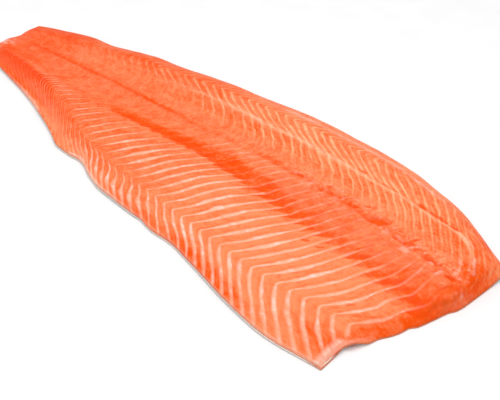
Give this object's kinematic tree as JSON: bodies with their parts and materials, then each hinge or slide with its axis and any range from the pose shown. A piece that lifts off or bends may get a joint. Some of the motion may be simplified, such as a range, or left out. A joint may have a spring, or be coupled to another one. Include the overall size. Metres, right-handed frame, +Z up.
{
  "type": "salmon fillet",
  "caption": "Whole raw side of salmon with the skin on, lying skin side down, tapering from the head cut to the tail.",
  "frame": {"origin": "on the surface that the fillet lies on, under the middle of its bounding box", "axes": "+X from the tail to the head end, +Y from the belly edge to the back, +Z up out of the cut face"},
  "size_m": [0.6032, 0.2165, 0.0252],
  "materials": {
    "flesh": "moist raw flesh, orange with pale fat lines",
    "skin": "moist silver-grey scaly skin"
  },
  "bodies": {
    "root": {"flesh": "flesh", "skin": "skin"}
  },
  "joints": []
}
